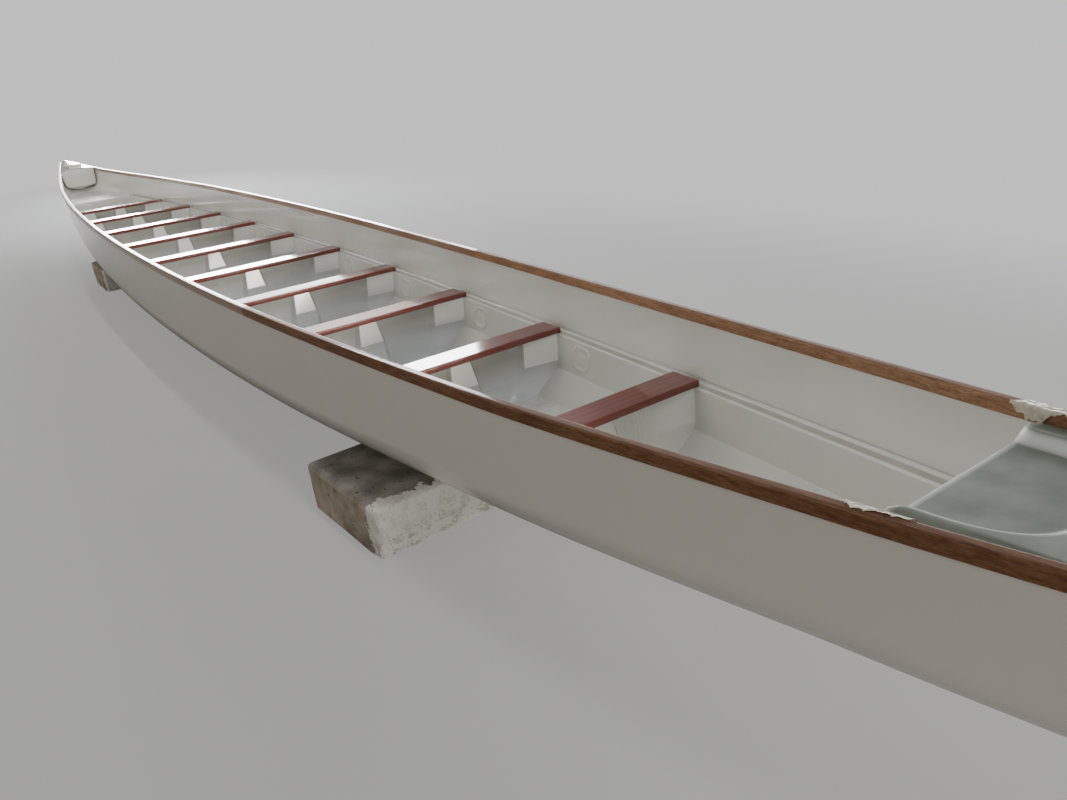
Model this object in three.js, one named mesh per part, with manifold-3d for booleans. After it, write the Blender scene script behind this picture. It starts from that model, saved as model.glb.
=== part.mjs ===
// A racing dragon boat for twenty paddlers, standing on two foam blocks.
// Millimetres. +X is the bow, +Y is port, +Z is up, and the origin is on the floor under midships.

import * as THREE from 'three';
import { mergeVertices } from 'three/addons/utils/BufferGeometryUtils.js';
import Module from 'manifold-3d';

const wasm = await Module();
wasm.setup();

// Driving dimensions
const HALF_LENGTH = 6245;        // half of the 12.49 m hull, without head and tail
const GUNWALE_Z = 580;           // rail top amidships over the floor
const SEAT_COUNT = 10;
const SEAT_PITCH = 750;          // bench to bench
const SEAT_WIDTH = 110;
const SEAT_THICK = 22;
const SEAT_DROP = 186;           // rail top down to the seat top
const SEAT_END_GAP = 20;         // seat end to the rail's inner face, seen from above
const WALL = 8;                  // hull laminate
const RAIL_WIDTH = 25;
const RAIL_HEIGHT = 31;
const RAIL_REVEAL = 7;           // rail standing proud of the hull's outer face
const FLARE = 4;                 // degrees of the hull side from upright
const BILGE_RADIUS = 140;
const END_FLARE = 0.3;           // at the narrow ends: most flare, as a share of the half breadth
const END_BILGE = 0.5;           // and largest bilge radius, as a share of half breadth or depth
const LEDGE_WIDTH = 36;          // moulded shelf along each side
const SEAT_HOUSING = 1;          // depth of the notch in the shelf that each seat end rests in
const PANEL_SLOPE = 11;          // degrees of the panel under the ledge from upright
const PANEL_DROP = 118;          // ledge down to the crease in the side panel
const LOWER_SLOPE = 50;          // degrees of the panel below the crease from upright
const BOW_DECK_X = 4380;         // aft edge of the bow deck
const BOW_BULKHEAD_X = 4750;
const SCOOP_LENGTH = 293;        // hollow in the bow deck, half an ellipse in plan
const SCOOP_HALF_WIDTH = 222;
const SCOOP_DEPTH = 31;
const SCOOP_FLOOR = { length: 205, half: 150 };
const PLATFORM_X = -4270;        // front face of the stern platform
const STERN_DECK_X = -5370;      // front face of the stern deck
const APRON_DEPTH = 170;         // the stern deck's front face, top to bottom
const APRON_SETBACK = 100;       // stern bulkhead behind the apron
const DECK_THICK = 6;
const PANEL_THICK = 10;
const DECK_CROWN = 18;
const DECK_SETBACK = 50;         // decks end short of the hull's ends
const DECK_DROP = 2;             // deck edges below the rail top
const RAMP = 500;                // length over which the bow deck's crown grows
const BLOCK = { length: 467, width: 1000, height: 160 };
const GAP = 0.4;                 // between pieces that touch
const STEP = 250;                // station spacing along the hull
const OVERRUN = 60;              // how far a piece is drawn past the surface that trims it
const PAST_SIDE = 700;           // a half breadth wider than the hull anywhere
const ABOVE = 300;               // height the trimming room is carried above the hull's edge
const BILGE_TURNS = 7;           // flats in the bilge arc
const WEB_TURNS = 6;             // flats in the hollow of a seat frame's web
const SEAT_TURNS = 3;            // flats in a quarter of a seat's rounded edge
const NOSE = 70;                 // length over which the stem and stern post round off
const NOSE_BREADTH = 0.25;       // share of the breadth left at the very ends
const RAIL_SETBACK = 45;         // rail ends short of the hull's ends

// Hull table, stern to bow. Columns: place along the hull, half breadth to the rail's inner face,
// rail top over its height amidships, keel over the floor, rise of the bottom in degrees.
const STATIONS = [
  { x: -6245, rail: 30, sheer: 92, keel: 526, rise: 25 },
  { x: -5600, rail: 130, sheer: 52, keel: 422, rise: 14 },
  { x: -5000, rail: 207, sheer: 30, keel: 342, rise: 8 },
  { x: -4270, rail: 296, sheer: 17, keel: 264, rise: 5 },
  { x: -3375, rail: 388, sheer: 10, keel: 193, rise: 4 },
  { x: -1800, rail: 495, sheer: 2, keel: 117, rise: 3 },
  { x: 0, rail: 535, sheer: -6, keel: 90, rise: 3 },
  { x: 1800, rail: 488, sheer: -5, keel: 117, rise: 3 },
  { x: 3375, rail: 370, sheer: 18, keel: 193, rise: 4 },
  { x: 4350, rail: 252, sheer: 52, keel: 272, rise: 5 },
  { x: 5000, rail: 160, sheer: 84, keel: 342, rise: 7 },
  { x: 5600, rail: 86, sheer: 125, keel: 422, rise: 12 },
  { x: 6245, rail: 14, sheer: 180, keel: 526, rise: 25 },
];

const rad = THREE.MathUtils.degToRad;

// Value of one table column at x, by a cubic through the table's rows.
function column(name, x) {
  const rows = STATIONS;
  let i = 0;
  while (i < rows.length - 2 && x > rows[i + 1].x) i += 1;
  const slope = (k) => {
    const low = rows[Math.max(k - 1, 0)];
    const high = rows[Math.min(k + 1, rows.length - 1)];
    return (high[name] - low[name]) / (high.x - low.x);
  };
  const span = rows[i + 1].x - rows[i].x;
  const t = (x - rows[i].x) / span;
  const t2 = t * t;
  const t3 = t2 * t;
  return (2 * t3 - 3 * t2 + 1) * rows[i][name] + (t3 - 2 * t2 + t) * span * slope(i)
    + (3 * t2 - 2 * t3) * rows[i + 1][name] + (t3 - t2) * span * slope(i + 1);
}

const railInner = (x) => column('rail', x);
const railTop = (x) => GUNWALE_Z + column('sheer', x);
const seatUnder = (x) => railTop(x) - SEAT_DROP - SEAT_THICK;
const ledgeTop = (x) => seatUnder(x) + SEAT_HOUSING;
const ledgeInner = (x) => railInner(x) - LEDGE_WIDTH - 2;

// 1 along the hull, falling to NOSE_BREADTH at the rounded stem and stern post.
function nose(x) {
  const d = Math.min(Math.max(HALF_LENGTH - Math.abs(x), 0) / NOSE, 1);
  return NOSE_BREADTH + (1 - NOSE_BREADTH) * Math.sqrt(1 - (1 - d) * (1 - d));
}

// Stations from one place to another: the common ones between, and both ends.
function stations(from, to, extra = []) {
  const xs = [from, to, ...extra];
  for (let x = Math.ceil(from / STEP) * STEP; x < to; x += STEP) xs.push(x);
  return [...new Set(xs)].sort((a, b) => a - b);
}

// Half of the hull's section, top to keel: side line, bilge arc, bottom line. The skin is
// moved inwards by inset, and lift carries the side on above the hull's edge.
function halfSection(x, inset, lift) {
  const rise = rad(column('rise', x));
  const edge = railTop(x) - RAIL_HEIGHT - GAP;
  const full = (railInner(x) + RAIL_WIDTH - RAIL_REVEAL) * nose(x);
  const depth = edge - column('keel', x);
  const flare = Math.min(rad(FLARE), Math.atan(END_FLARE * full / depth));
  const breadth = full - inset / Math.cos(flare);
  const keel = column('keel', x) + (1 - nose(x)) * NOSE + inset / Math.cos(rise);
  const fitting = Math.min(BILGE_RADIUS, END_BILGE * full, END_BILGE * depth);
  const radius = Math.max(fitting - inset, 2);
  const slopes = 1 - Math.tan(rise) * Math.tan(flare);
  const corner = new THREE.Vector2((breadth - (edge - keel) * Math.tan(flare)) / slopes, 0);
  corner.y = keel + corner.x * Math.tan(rise);
  const up = new THREE.Vector2(Math.sin(flare), Math.cos(flare));
  const inwards = new THREE.Vector2(-Math.cos(rise), -Math.sin(rise));
  const half = Math.acos(up.dot(inwards)) / 2;
  const centre = up.clone().add(inwards).normalize().multiplyScalar(radius / Math.sin(half)).add(corner);
  const points = [[breadth + lift * Math.tan(flare), edge + lift]];
  for (let k = 0; k <= BILGE_TURNS; k += 1) {
    const angle = -flare + (rise - Math.PI / 2 + flare) * (k / BILGE_TURNS);
    points.push([centre.x + radius * Math.cos(angle), centre.y + radius * Math.sin(angle)]);
  }
  points.push([0, keel]);
  return points;
}

function hullRing(x, inset, lift) {
  const port = halfSection(x, inset, lift);
  const starboard = port.slice(0, -1).map(([y, z]) => [-y, z]).reverse();
  return { x, points: [...port, ...starboard] };
}

// A closed solid through rings of equal point count, each ring in a plane across the hull.
function loft(rings) {
  const count = rings[0].points.length;
  const vertices = rings.flatMap((ring) => ring.points.flatMap(([y, z]) => [ring.x, y, z]));
  const triangles = [];
  for (let i = 0; i < rings.length - 1; i += 1) {
    for (let k = 0; k < count; k += 1) {
      const a = i * count + k;
      const b = i * count + ((k + 1) % count);
      triangles.push(a, a + count, b, b, a + count, b + count);
    }
  }
  const cap = (ring, first, outward) => {
    const flat = ring.points.map(([y, z]) => new THREE.Vector2(y, z));
    const faces = THREE.ShapeUtils.triangulateShape(flat, []);
    const area = (face) => THREE.ShapeUtils.area(face.map((k) => flat[k]));
    const total = faces.reduce((sum, face) => sum + area(face), 0);
    const keep = Math.sign(total) === Math.sign(THREE.ShapeUtils.area(flat)) * outward;
    for (const [a, b, c] of faces) {
      if (keep) triangles.push(first + a, first + b, first + c);
      else triangles.push(first + a, first + c, first + b);
    }
  };
  cap(rings[0], 0, 1);
  cap(rings[rings.length - 1], (rings.length - 1) * count, -1);
  return solid(vertices, triangles);
}

// Vertices and triangles to a solid, turned the right way out.
function solid(vertices, triangles) {
  const at = (i) => new THREE.Vector3(vertices[3 * i], vertices[3 * i + 1], vertices[3 * i + 2]);
  let volume = 0;
  for (let i = 0; i < triangles.length; i += 3) {
    volume += at(triangles[i]).dot(at(triangles[i + 1]).cross(at(triangles[i + 2])));
  }
  const order = volume < 0 ? triangles.slice().reverse() : triangles;
  return new wasm.Manifold(new wasm.Mesh({
    numProp: 3,
    vertProperties: new Float32Array(vertices),
    triVerts: new Uint32Array(order),
  }));
}

function fromGeometry(geometry) {
  const bare = geometry.clone();
  bare.deleteAttribute('normal');
  bare.deleteAttribute('uv');
  const merged = mergeVertices(bare, 1e-3);
  return solid(Array.from(merged.attributes.position.array), Array.from(merged.index.array));
}

function toGeometry(body) {
  const mesh = body.getMesh();
  const geometry = new THREE.BufferGeometry();
  geometry.setAttribute('position', new THREE.BufferAttribute(new Float32Array(mesh.vertProperties), 3));
  geometry.setIndex(new THREE.BufferAttribute(new Uint32Array(mesh.triVerts), 1));
  geometry.computeVertexNormals();
  return geometry;
}

function box(x0, x1, y0, y1, z0, z1) {
  const geometry = new THREE.BoxGeometry(x1 - x0, y1 - y0, z1 - z0);
  geometry.translate((x0 + x1) / 2, (y0 + y1) / 2, (z0 + z1) / 2);
  return fromGeometry(geometry);
}

// An outline in the Y-Z plane, carried along X from x0 to x1.
function acrossHull(outline, x0, x1) {
  return loft([{ x: x0, points: outline }, { x: x1, points: outline }]);
}

// A sheet with its top at top(x, y), its edges at half(x), and a constant thickness. The lines
// along it lie at the given shares of the half breadth, and at the same shares on the other side.
function sheet(xs, shares, half, top, thick) {
  const vertices = [];
  const triangles = [];
  const lines = [...shares.map((share) => -share).reverse(), 0, ...shares];
  const rows = lines.length - 1;
  const side = (drop) => xs.forEach((x) => {
    for (const line of lines) {
      const y = half(x) * line;
      vertices.push(x, y, top(x, y) - drop);
    }
  });
  side(0);
  side(thick);
  const width = rows + 1;
  const under = xs.length * width;
  const quad = (a, b, c, d) => triangles.push(a, b, c, a, c, d);
  for (let i = 0; i < xs.length - 1; i += 1) {
    for (let k = 0; k < rows; k += 1) {
      const a = i * width + k;
      quad(a, a + width, a + width + 1, a + 1);
      quad(under + a, under + a + 1, under + a + width + 1, under + a + width);
    }
    const a = i * width;
    const b = a + rows;
    quad(a, under + a, under + a + width, a + width);
    quad(b, b + width, under + b + width, under + b);
  }
  const end = (xs.length - 1) * width;
  for (let k = 0; k < rows; k += 1) {
    quad(k, k + 1, under + k + 1, under + k);
    quad(end + k, under + end + k, under + end + k + 1, end + k + 1);
  }
  return solid(vertices, triangles);
}

// Materials
const material = (name, color, roughness) => {
  const made = new THREE.MeshStandardMaterial({ color, roughness, metalness: 0 });
  made.name = name;
  return made;
};
const GELCOAT = material('white gelcoat', 0xdedcd4, 0.25);
const RAIL_WOOD = material('oiled hardwood', 0x8a6245, 0.55);
const SEAT_WOOD = material('varnished mahogany', 0x7a3226, 0.2);
const FOAM = material('rigid foam', 0xa9a296, 0.95);

const group = new THREE.Group();
function add(name, body, look) {
  const mesh = new THREE.Mesh(toGeometry(body), look);
  mesh.name = name;
  group.add(mesh);
}

// Hull: the outer form less the room inside it. The room, a little smaller, trims what fits in.
const tips = [20, 45, NOSE].flatMap((d) => [d - HALF_LENGTH, HALF_LENGTH - d]);
const hullStations = stations(-HALF_LENGTH, HALF_LENGTH, tips);
const roomStations = stations(-HALF_LENGTH + NOSE, HALF_LENGTH - NOSE);
const outside = loft(hullStations.map((x) => hullRing(x, 0, 0)));
const room = (gap) => loft(roomStations.map((x) => hullRing(x, WALL + gap, ABOVE)));
const inside = room(GAP);
const shell = outside.subtract(room(0));
const SIDES = [{ name: 'port', y: 1 }, { name: 'starboard', y: -1 }];

// The hull's skin in lengths, each in a port and a starboard half that meet along the keel.
const HULL_LENGTHS = [
  { name: 'stern', from: -HALF_LENGTH, to: -3750 },
  { name: 'aft', from: -3750, to: -1250 },
  { name: 'mid_aft', from: -1250, to: 0 },
  { name: 'mid_fore', from: 0, to: 1250 },
  { name: 'fore', from: 1250, to: 3750 },
  { name: 'bow', from: 3750, to: HALF_LENGTH },
];
for (const side of SIDES) {
  for (const piece of HULL_LENGTHS) {
    const [near, far] = [GAP / 2, PAST_SIDE].map((y) => side.y * y).sort((a, b) => a - b);
    const part = box(piece.from + GAP / 2, piece.to - GAP / 2, near, far, 0, 2 * GUNWALE_Z);
    add(`hull_${side.name}_${piece.name}`, shell.intersect(part), GELCOAT);
  }
}

// The wedge under one side's ledge: shelf, a steep panel leaning inwards, a crease, and a
// shallower panel down to the bottom.
function wedge(side, from, to, gap) {
  const rings = stations(from, to).map((x) => {
    const top = ledgeTop(x) + gap;
    const edge = ledgeInner(x) - gap;
    const crease = edge - PANEL_DROP * Math.tan(rad(PANEL_SLOPE));
    const low = Math.min(column('keel', x), top - PANEL_DROP) - OVERRUN;
    const foot = crease - (top - PANEL_DROP - low) * Math.tan(rad(LOWER_SLOPE));
    const out = railInner(x) + OVERRUN;
    const outline = [[out, top], [edge, top], [crease, top - PANEL_DROP], [foot, low], [out, low]];
    return { x, points: outline.map(([y, z]) => [side * y, z]) };
  });
  return loft(rings);
}

const seatX = (i) => ((SEAT_COUNT - 1) / 2 - i) * SEAT_PITCH;
const housings = Array.from({ length: SEAT_COUNT }, (_, i) => {
  const half = SEAT_WIDTH / 2 + 2;
  const floor = seatUnder(seatX(i)) - GAP;
  return box(seatX(i) - half, seatX(i) + half, -PAST_SIDE, PAST_SIDE, floor, floor + OVERRUN);
});
const TANK_LENGTHS = [
  { name: 'aft', from: PLATFORM_X + GAP, to: -1500 },
  { name: 'mid_aft', from: -1500 + GAP, to: 0 },
  { name: 'mid_fore', from: GAP, to: 1500 },
  { name: 'fore', from: 1500 + GAP, to: BOW_BULKHEAD_X - GAP },
];
for (const side of SIDES) {
  for (const piece of TANK_LENGTHS) {
    let tank = wedge(side.y, piece.from, piece.to, 0).intersect(inside);
    for (const housing of housings) tank = tank.subtract(housing);
    add(`side_tank_${side.name}_${piece.name}`, tank, GELCOAT);
  }
}

// Gunwale rails in three lengths a side, butt-jointed, with eased edges.
const RAIL_JOINTS = { fore: 2015, aft: -2185 };
const RAIL_LENGTHS = [
  { name: 'fore', from: RAIL_JOINTS.fore, to: HALF_LENGTH - RAIL_SETBACK },
  { name: 'mid', from: RAIL_JOINTS.aft, to: RAIL_JOINTS.fore - GAP },
  { name: 'aft', from: -HALF_LENGTH + RAIL_SETBACK, to: RAIL_JOINTS.aft - GAP },
];
const EASE = 4;                  // chamfer along the rail's upper edges
for (const side of SIDES) {
  for (const piece of RAIL_LENGTHS) {
    const rings = stations(piece.from, piece.to).map((x) => {
      const y0 = railInner(x);
      const y1 = y0 + RAIL_WIDTH;
      const z1 = railTop(x);
      const z0 = z1 - RAIL_HEIGHT;
      const outline = [[y0, z0], [y1, z0], [y1, z1 - EASE], [y1 - EASE, z1],
        [y0 + EASE, z1], [y0, z1 - EASE]];
      return { x, points: outline.map(([y, z]) => [side.y * y, z]) };
    });
    add(`rail_${side.name}_${piece.name}`, loft(rings), RAIL_WOOD);
  }
}

// Seats from the bow aft, each a plank with rounded long edges, and the frame under each.
const EDGE_ROUND = 6;

function seat(x) {
  const half = Math.min(railInner(x - SEAT_WIDTH / 2), railInner(x + SEAT_WIDTH / 2)) - SEAT_END_GAP;
  const w = SEAT_WIDTH / 2;
  const h = SEAT_THICK / 2;
  const r = EDGE_ROUND;
  const shape = new THREE.Shape();
  shape.moveTo(-w + r, -h);
  shape.lineTo(w - r, -h);
  shape.absarc(w - r, -h + r, r, -Math.PI / 2, 0);
  shape.absarc(w - r, h - r, r, 0, Math.PI / 2);
  shape.absarc(-w + r, h - r, r, Math.PI / 2, Math.PI);
  shape.absarc(-w + r, -h + r, r, Math.PI, Math.PI * 1.5);
  const plank = { depth: 2 * half, bevelEnabled: false, curveSegments: SEAT_TURNS };
  const geometry = new THREE.ExtrudeGeometry(shape, plank);
  geometry.rotateX(Math.PI / 2);
  geometry.translate(x, half, railTop(x) - SEAT_DROP - h);
  return fromGeometry(geometry);
}

// Seat frame levels, top to foot: half width of the centre post, how far the side pedestals reach
// in from the ledge, breadth of their slanted cheeks, and half of the depth fore and aft.
const FRAME_LEVELS = [
  { name: 'top', post: 35, pedestal: 135, cheek: 14, depth: 28 },
  { name: 'brow', post: 50, pedestal: 153, cheek: 17, depth: 48 },
  { name: 'foot', post: 58, pedestal: 170, cheek: 30, depth: 42 },
];
const BROW_DROP = 92;            // seat underside down to the brow, where the front turns upright
const WEB = { edge: 20, middle: 10 };    // half of the web's thickness, at the cheeks and between

function seatFrame(x) {
  const rings = FRAME_LEVELS.map((level) => {
    const start = level.post + level.cheek;
    const end = ledgeInner(x) - level.pedestal - level.cheek;
    const half = [[0, level.depth], [level.post, level.depth]];
    for (let k = 0; k <= WEB_TURNS; k += 1) {
      const bow = (2 * k / WEB_TURNS - 1) ** 2;
      const depth = WEB.middle + (WEB.edge - WEB.middle) * bow;
      half.push([start + (end - start) * (k / WEB_TURNS), depth]);
    }
    half.push([end + level.cheek, level.depth], [ledgeInner(x) + OVERRUN, level.depth]);
    const front = [...half.slice(1).map(([y, d]) => [-y, d]).reverse(), ...half];
    const back = front.map(([y, d]) => [y, -d]).reverse();
    const heights = { top: seatUnder(x) - GAP, brow: seatUnder(x) - BROW_DROP,
      foot: column('keel', x) - OVERRUN };
    return { x: heights[level.name], points: [...front, ...back] };
  });
  let frame = loft(rings).rotate([0, -90, 0]).translate([x, 0, 0]).intersect(inside);
  const reach = FRAME_LEVELS[1].depth + OVERRUN;
  for (const side of SIDES) frame = frame.subtract(wedge(side.y, x - reach, x + reach, GAP));
  return frame;
}

for (let i = 0; i < SEAT_COUNT; i += 1) {
  const label = String(i + 1).padStart(2, '0');
  add(`seat_${label}`, seat(seatX(i)), SEAT_WOOD);
  add(`seat_frame_${label}`, seatFrame(seatX(i)), GELCOAT);
}

// Decks
const betweenRails = (x) => railInner(x) - 0.6;
const crown = (x, y) => DECK_CROWN * (1 - (y / railInner(x)) ** 2);

// Depth of the hollow: flat inside the floor's ellipse, rising evenly to the rim's.
function scoop(x, y) {
  const distance = Math.hypot(x - BOW_DECK_X, y);
  if (distance === 0) return SCOOP_DEPTH;
  const radius = (length, half) => distance / Math.hypot((x - BOW_DECK_X) / length, y / half);
  const rim = radius(SCOOP_LENGTH, SCOOP_HALF_WIDTH);
  const floor = radius(SCOOP_FLOOR.length, SCOOP_FLOOR.half);
  const t = Math.min(Math.max((distance - floor) / (rim - floor), 0), 1);
  return SCOOP_DEPTH * (1 - t);
}

function bowDeckTop(x, y) {
  const ramp = Math.min(Math.max((x - BOW_DECK_X - SCOOP_LENGTH) / RAMP, 0), 1);
  return railTop(x) - DECK_DROP + ramp * crown(x, y) - scoop(x, y);
}

const sternDeckTop = (x, y) => railTop(x) - DECK_DROP + crown(x, y);
const scoopStations = [50, 100, 150, 180, 205, 228, 250, 272, 293].map((d) => BOW_DECK_X + d);
const bowStations = stations(BOW_DECK_X, HALF_LENGTH - DECK_SETBACK, scoopStations);
const bowShares = [0.2, 0.4, 0.52, 0.605, 0.68, 0.75, 0.82, 0.895, 1];
const bowDeck = sheet(bowStations, bowShares, betweenRails, bowDeckTop, DECK_THICK);
add('bow_deck', bowDeck, GELCOAT);

const sternStations = stations(-HALF_LENGTH + DECK_SETBACK, STERN_DECK_X);
const sternSheet = sheet(sternStations, [0.25, 0.5, 0.75, 1], betweenRails, sternDeckTop, DECK_THICK);
const apronTop = railTop(STERN_DECK_X) - 2 * DECK_DROP;
const apronHalf = betweenRails(STERN_DECK_X - PANEL_THICK);
const apron = box(STERN_DECK_X - PANEL_THICK, STERN_DECK_X, -apronHalf, apronHalf,
  apronTop - APRON_DEPTH, apronTop).intersect(inside);
const sternDeck = sternSheet.add(apron);
add('stern_deck', sternDeck, GELCOAT);

// Bulkheads and the stern platform, trimmed to the hull's inner skin.
const bowBulkhead = box(BOW_BULKHEAD_X, BOW_BULKHEAD_X + PANEL_THICK, -PAST_SIDE, PAST_SIDE, 0,
  railTop(BOW_BULKHEAD_X) - RAIL_HEIGHT).intersect(inside);
add('bow_bulkhead', bowBulkhead, GELCOAT);

const sternBulkheadX = STERN_DECK_X - APRON_SETBACK;
const sternBulkhead = box(sternBulkheadX - PANEL_THICK, sternBulkheadX, -PAST_SIDE, PAST_SIDE, 0,
  railTop(sternBulkheadX) - RAIL_HEIGHT).intersect(inside);
add('stern_bulkhead', sternBulkhead, GELCOAT);

const platformTop = ledgeTop(PLATFORM_X) - 1;
const platformFoot = platformTop - PANEL_THICK;
const platform = box(sternBulkheadX + GAP, PLATFORM_X, -PAST_SIDE, PAST_SIDE, platformFoot, platformTop)
  .add(box(PLATFORM_X - PANEL_THICK, PLATFORM_X, -PAST_SIDE, PAST_SIDE, 0, platformTop))
  .intersect(inside);
add('stern_platform', platform, GELCOAT);

// Flat pads on the decks for the ornamental head and tail.
const PADS = [
  { name: 'head_pad', x: 5600, length: 300, width: 100, rise: 22, deck: bowDeck },
  { name: 'tail_pad', x: -5600, length: 300, width: 130, rise: 22, deck: sternDeck },
];
for (const pad of PADS) {
  const level = pad.deck.boundingBox().max[2];
  const top = railTop(pad.x) + DECK_CROWN + pad.rise;
  const block = box(pad.x - pad.length / 2, pad.x + pad.length / 2, -pad.width / 2, pad.width / 2,
    railTop(pad.x) - OVERRUN, Math.min(top, level));
  const lifted = pad.deck.translate([0, 0, GAP]);
  const pieces = block.subtract(lifted).decompose();
  pieces.sort((a, b) => b.boundingBox().max[2] - a.boundingBox().max[2]);
  add(pad.name, pieces[0], GELCOAT);
}

// Foam blocks, hollowed where the hull's bottom lies in them.
const BLOCKS = [
  { name: 'block_fore', x: 2750, y: -40, turn: 2.5 },
  { name: 'block_aft', x: -1955, y: 20, turn: 0 },
];
const bed = loft(hullStations.map((x) => hullRing(x, -GAP, 0)));
for (const block of BLOCKS) {
  const geometry = new THREE.BoxGeometry(BLOCK.length, BLOCK.width, BLOCK.height);
  geometry.rotateZ(rad(block.turn));
  geometry.translate(block.x, block.y, BLOCK.height / 2);
  add(block.name, fromGeometry(geometry).subtract(bed), FOAM);
}

export default group;
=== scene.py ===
# %% [markdown]
# # A racing dragon boat on two foam blocks
# The real boat is a hull of moulded fibreglass with a white gelcoat skin, hardwood rails along
# both edges, ten varnished benches on moulded supports, a dished bow deck and a small stern deck.
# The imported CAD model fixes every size, so the first cell loads it before anything is made.

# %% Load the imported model
import math
from functools import partial

import bmesh
import bpy
import numpy as np
from mathutils import Matrix, Vector, noise


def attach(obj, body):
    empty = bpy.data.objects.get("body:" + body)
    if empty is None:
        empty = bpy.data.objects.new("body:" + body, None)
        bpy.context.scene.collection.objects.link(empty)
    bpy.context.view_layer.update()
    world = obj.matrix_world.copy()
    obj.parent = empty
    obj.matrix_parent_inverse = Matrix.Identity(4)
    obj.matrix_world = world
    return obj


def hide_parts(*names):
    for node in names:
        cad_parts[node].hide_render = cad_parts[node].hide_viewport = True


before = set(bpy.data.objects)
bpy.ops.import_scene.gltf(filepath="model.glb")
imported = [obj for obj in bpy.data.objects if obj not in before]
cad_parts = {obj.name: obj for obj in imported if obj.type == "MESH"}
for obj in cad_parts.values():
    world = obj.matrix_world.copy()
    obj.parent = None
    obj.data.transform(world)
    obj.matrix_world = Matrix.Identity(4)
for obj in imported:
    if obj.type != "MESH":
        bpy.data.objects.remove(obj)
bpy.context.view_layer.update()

# %% [markdown]
# The camera stands by the bow on the starboard side, a little above the rail, and looks aft along
# the boat. Its place and turn were solved from the bench corners, so the far end of the boat
# tapers here as it does in the picture. It is set first, because every finish is judged through it.

# %% Camera
CAMERA_AT = Vector((5.039, -1.253, 1.324))
YAW, PITCH, ROLL = (math.radians(a) for a in (147.33, 22.529, -6.247))
SENSOR_MM = 36.0
FOCAL_PIXELS, FRAME_PIXELS = 844.17, 1067

ahead = Vector((math.cos(YAW) * math.cos(PITCH), math.sin(YAW) * math.cos(PITCH), -math.sin(PITCH)))
level = ahead.cross(Vector((0, 0, 1))).normalized()
upright = level.cross(ahead)
right = math.cos(ROLL) * level + math.sin(ROLL) * upright
up = math.cos(ROLL) * upright - math.sin(ROLL) * level


def placed(name, data):
    """A new object in the scene."""
    obj = bpy.data.objects.new(name, data)
    bpy.context.scene.collection.objects.link(obj)
    return obj


camera = placed("camera", bpy.data.cameras.new("camera"))
camera.data.sensor_width = SENSOR_MM
camera.data.lens = FOCAL_PIXELS / FRAME_PIXELS * SENSOR_MM
turn = Matrix((right, up, -ahead)).transposed().to_4x4()
camera.matrix_world = Matrix.Translation(CAMERA_AT) @ turn
bpy.context.scene.camera = camera
print(f"lens {camera.data.lens:.2f} mm, camera {CAMERA_AT.z:.2f} m over the floor")

# %% [markdown]
# A finish is a graph of shader nodes. One helper adds a node, sets what is fixed on it and joins
# what feeds it. Another turns the usual hex colour, as a paint chart gives it, into the linear
# numbers that the renderer adds up. Patterns are sized in millimetres on the real object.

# %% Node and colour helpers
def linear(code):
    """An sRGB hex colour as linear RGBA."""
    parts = [int(code[i:i + 2], 16) / 255 for i in (1, 3, 5)]
    return [p / 12.92 if p <= 0.04045 else ((p + 0.055) / 1.055) ** 2.4 for p in parts] + [1.0]


def node(tree, kind, inputs=(), **settings):
    """Adds a shader node. Inputs come by name, or as a list in the order that the node shows. Each
    is a value, a hex colour, a socket to join, or another node, whose first output is joined."""
    made = tree.nodes.new("ShaderNode" + kind)
    for name, value in settings.items():
        setattr(made, name, value)
    shown = [socket for socket in made.inputs if socket.enabled]
    if isinstance(inputs, dict):
        shown, inputs = [made.inputs[key] for key in inputs], inputs.values()
    for socket, value in zip(shown, inputs):
        if isinstance(value, bpy.types.Node):
            value = [output for output in value.outputs if output.enabled][0]
        if isinstance(value, bpy.types.NodeSocket):
            tree.links.new(value, socket)
        else:
            socket.default_value = linear(value) if isinstance(value, str) else value
    return made


def start(name):
    """A new material, what adds nodes to it, and the object's coordinates in millimetres."""
    made = bpy.data.materials.new(name)
    made.use_nodes = True
    made.node_tree.nodes.clear()
    add = partial(node, made.node_tree)
    metres = add("TexCoord").outputs["Object"]
    return made, add, add("VectorMath", [metres, (1000,) * 3], operation="MULTIPLY")


def end(made, shader):
    node(made.node_tree, "OutputMaterial", [shader])
    return made


def upwards(add):
    """How far a face looks up: the Z of its normal."""
    return add("SeparateXYZ", [add("NewGeometry").outputs["Normal"]]).outputs["Z"]


print("white gelcoat #E6E4DD is", [round(v, 3) for v in linear("#E6E4DD")])

# %% [markdown]
# Gelcoat is the polyester skin sprayed into the mould before the glass. It comes out as glossy as
# the mould, so it shows clear reflections. They wander a little, because the glass behind shrinks
# as it cures: waves 350 mm long and about half a millimetre high, with a faint peel of 6 mm.
# Workshop dust dulls it, in clouds of 90 mm, where a face looks up. Outside it is nearly clean;
# inside, dust and a painted shade grow darker down into the bays. The side mouldings hold dust on
# their level shelf only, under a harder gloss, and their gelcoat is drawn a little darker all over,
# a painted shade. The posts are drawn a lighter white, a painted light. The supports' webs are
# bare laminate, drawn greyer towards the top, a painted shade, and bluish white low down, a painted
# reflection. On the bow deck the dish's floor is drawn dark grey, dust with a painted shade; it is
# half as dark on its lip, a painted light, and the dust is thin ahead of it.

# %% White gelcoat
LEAST_DUST, DUST_ROUGHNESS = 0.15, 0.62


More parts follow.
